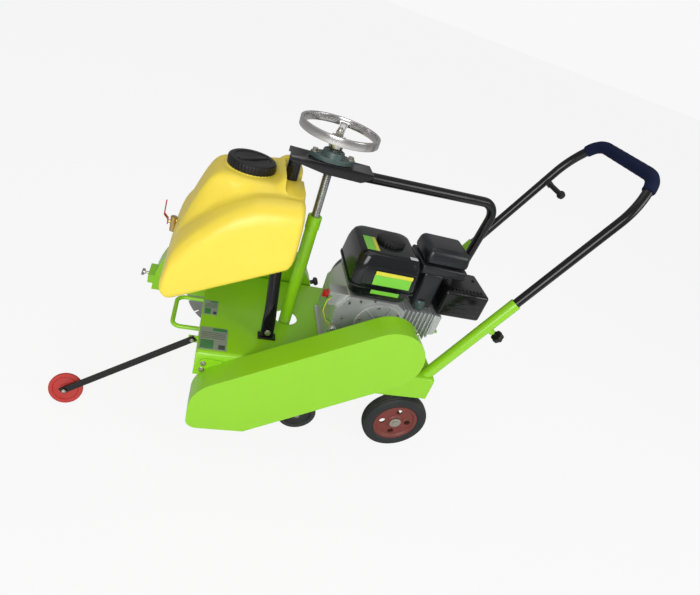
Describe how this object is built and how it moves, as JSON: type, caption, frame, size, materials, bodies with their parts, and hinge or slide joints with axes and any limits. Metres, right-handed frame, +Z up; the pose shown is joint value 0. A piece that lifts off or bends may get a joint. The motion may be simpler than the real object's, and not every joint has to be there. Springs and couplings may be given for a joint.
{
  "type": "walk-behind concrete saw",
  "caption": "Engine-driven walk-behind saw for concrete and asphalt: guarded diamond blade, belt drive, water tank, depth handwheel, folding guide wheel and push handle.",
  "frame": {"origin": "on the floor, under the middle of the whole machine", "axes": "+X to the rear, towards the operator; +Y to the operator's right, the blade side; +Z up"},
  "size_m": [1.369, 0.543, 0.9915],
  "materials": {
    "lime_paint": "semi-gloss powder coat",
    "black_paint": "gloss black paint",
    "zinc_steel": "zinc plated",
    "cast_alloy": "as cast",
    "black_plastic": "moulded, semi-gloss",
    "black_rubber": "matt",
    "tyre_rubber": "matt",
    "navy_foam": "fine-celled foam",
    "red_casting": "painted red",
    "grey_green_casting": "painted grey-green",
    "chrome_plate": "polished",
    "blade_steel": "ground",
    "yellow_plastic": "translucent-looking moulded plastic",
    "brass": "plain",
    "red_lever": "dipped red",
    "navy_plastic": "moulded, semi-gloss",
    "red_plastic": "moulded",
    "drive_rubber": "matt",
    "recoil_paint": "black paint"
  },
  "bodies": {
    "machine": {"chassis_deck": "lime_paint", "lift_handle": "lime_paint", "axle_plate_left": "lime_paint", "axle_plate_right": "lime_paint", "rear_axle": "zinc_steel", "swing_pin": "zinc_steel", "handle_socket_left": "lime_paint", "handle_socket_right": "lime_paint", "screw_bracket": "black_paint", "bearing_housing": "grey_green_casting", "front_strut": "black_paint", "rear_strut": "black_paint", "shaft_bearing_left": "cast_alloy", "shaft_bearing_right": "cast_alloy", "belt_guard": "lime_paint", "drive_belt": "drive_rubber", "water_tank": "yellow_plastic", "tap_body": "brass", "engine_case": "cast_alloy", "cylinder_head": "cast_alloy", "fuel_tank": "black_plastic", "air_filter": "navy_plastic", "muffler": "recoil_paint", "recoil_cover": "recoil_paint"},
    "handle": {"push_handle": "black_paint", "foam_grip": "navy_foam"},
    "handle_lever": {"handle_lever": "black_plastic"},
    "clamp_knob_left": {"clamp_knob_left": "black_plastic"},
    "clamp_knob_right": {"clamp_knob_right": "black_plastic"},
    "rear_wheel_left": {"rear_tyre_left": "tyre_rubber", "rear_hub_left": "red_casting"},
    "rear_wheel_right": {"rear_tyre_right": "tyre_rubber", "rear_hub_right": "red_casting"},
    "swing": {"swing_frame": "lime_paint", "front_axle": "zinc_steel"},
    "front_wheel_left": {"front_wheel_left": "black_rubber"},
    "front_wheel_right": {"front_wheel_right": "black_rubber"},
    "screw": {"depth_screw": "zinc_steel", "handwheel": "chrome_plate", "dome_nut": "zinc_steel"},
    "lift": {"lift_tube": "lime_paint"},
    "tank_cap": {"tank_cap": "black_plastic"},
    "tap_lever": {"tap_lever": "red_lever"},
    "blade": {"blade_shaft": "zinc_steel", "saw_blade": "blade_steel", "blade_flange_inner": "zinc_steel", "blade_flange_outer": "zinc_steel", "blade_nut": "zinc_steel", "blade_pulley": "cast_alloy"},
    "crank": {"crankshaft": "zinc_steel", "engine_pulley": "cast_alloy"},
    "guard": {"blade_guard": "lime_paint", "guard_knob": "black_rubber"},
    "wing_screw": {"wing_screw": "zinc_steel"},
    "fuel_cap": {"fuel_cap": "black_plastic"},
    "starter": {"starter_grip": "black_plastic"},
    "engine_switch": {"engine_switch": "red_plastic"},
    "throttle": {"throttle_lever": "black_paint"},
    "pointer": {"pointer_arm": "black_paint"},
    "pointer_wheel": {"pointer_wheel": "red_plastic"}
  },
  "joints": [
    {"name": "handle_slide", "type": "slide", "parent": "machine", "child": "handle", "axis": [0.4638, 0, 0.886], "range_m": [-0.11, 0.08]},
    {"name": "handle_lever_turn", "type": "hinge", "parent": "handle", "child": "handle_lever", "pos_m": [0.5899, 0.1456, 0.8234], "axis": [0.886, 0, -0.4638], "range_deg": [-40, 40]},
    {"name": "clamp_knob_left_turn", "type": "hinge", "parent": "machine", "child": "clamp_knob_left", "pos_m": [0.409, -0.169, 0.4779], "axis": [0.886, 0, -0.4638], "range_deg": [0, 720]},
    {"name": "clamp_knob_right_turn", "type": "hinge", "parent": "machine", "child": "clamp_knob_right", "pos_m": [0.409, 0.169, 0.4779], "axis": [0.886, 0, -0.4638], "range_deg": [0, 720]},
    {"name": "rear_wheel_left_spin", "type": "hinge", "parent": "machine", "child": "rear_wheel_left", "pos_m": [0.267, -0.1845, 0.1], "axis": [0, 1, 0], "continuous": true},
    {"name": "rear_wheel_right_spin", "type": "hinge", "parent": "machine", "child": "rear_wheel_right", "pos_m": [0.267, 0.1845, 0.1], "axis": [0, 1, 0], "continuous": true},
    {"name": "handwheel_turn", "type": "hinge", "parent": "machine", "child": "screw", "pos_m": [-0.105, 0, 0.8], "axis": [0, 0, 1], "range_deg": [-7200, 4320]},
    {"name": "lift_slide", "type": "slide", "parent": "machine", "child": "lift", "axis": [0, 0, 1], "range_m": [-0.0601, 0.1001]},
    {"name": "front_swing", "type": "hinge", "parent": "machine", "child": "swing", "pos_m": [0.239, 0, 0.235], "axis": [0, 1, 0], "range_deg": [-10.1, 16.8]},
    {"name": "front_wheel_left_spin", "type": "hinge", "parent": "swing", "child": "front_wheel_left", "pos_m": [-0.025, -0.149, 0.056], "axis": [0, 1, 0], "continuous": true},
    {"name": "front_wheel_right_spin", "type": "hinge", "parent": "swing", "child": "front_wheel_right", "pos_m": [-0.025, 0.149, 0.056], "axis": [0, 1, 0], "continuous": true},
    {"name": "tank_cap_turn", "type": "hinge", "parent": "machine", "child": "tank_cap", "pos_m": [-0.286, 0, 0.7064], "axis": [0, 0, 1], "range_deg": [0, 360]},
    {"name": "tap_lever_turn", "type": "hinge", "parent": "machine", "child": "tap_lever", "pos_m": [-0.4604, 0.085, 0.474], "axis": [-1, 0, 0], "range_deg": [0, 90]},
    {"name": "blade_spin", "type": "hinge", "parent": "machine", "child": "blade", "pos_m": [-0.241, 0, 0.165], "axis": [0, 1, 0], "continuous": true},
    {"name": "crank_spin", "type": "hinge", "parent": "machine", "child": "crank", "pos_m": [0.127, 0, 0.389], "axis": [0, 1, 0], "continuous": true},
    {"name": "guard_tilt", "type": "hinge", "parent": "machine", "child": "guard", "pos_m": [-0.241, 0.24, 0.165], "axis": [0, 1, 0], "range_deg": [0, 35]},
    {"name": "wing_screw_turn", "type": "hinge", "parent": "guard", "child": "wing_screw", "pos_m": [-0.5234, 0.2393, 0.197], "axis": [-1, 0, 0], "range_deg": [0, 720]},
    {"name": "fuel_cap_turn", "type": "hinge", "parent": "machine", "child": "fuel_cap", "pos_m": [0.109, -0.022, 0.6014], "axis": [0, 0, 1], "range_deg": [0, 120]},
    {"name": "starter_pull", "type": "slide", "parent": "machine", "child": "starter", "axis": [0, 0, 1], "range_m": [0, 0.16], "stiffness_N_per_m": 40},
    {"name": "engine_switch_turn", "type": "hinge", "parent": "machine", "child": "engine_switch", "pos_m": [-0.0294, -0.078, 0.44], "axis": [-1, 0, 0], "range_deg": [0, 60]},
    {"name": "throttle_turn", "type": "hinge", "parent": "machine", "child": "throttle", "pos_m": [0.196, 0.07, 0.47], "axis": [0, 1, 0], "range_deg": [-30, 30]},
    {"name": "pointer_fold", "type": "hinge", "parent": "machine", "child": "pointer", "pos_m": [-0.351, -0.14, 0.272], "axis": [0, 1, 0], "range_deg": [0, 80]},
    {"name": "pointer_wheel_spin", "type": "hinge", "parent": "pointer", "child": "pointer_wheel", "pos_m": [-0.642, -0.14, 0.0452], "axis": [0, 0.9063, -0.4226], "continuous": true}
  ],
  "couplings": [
    {"joint": "lift_slide", "follows": "handwheel_turn", "m_per_rad": -0.00079577},
    {"joint": "front_swing", "follows": "handwheel_turn", "ratio": -0.0023133},
    {"joint": "crank_spin", "follows": "blade_spin", "ratio": 1.2222}
  ]
}
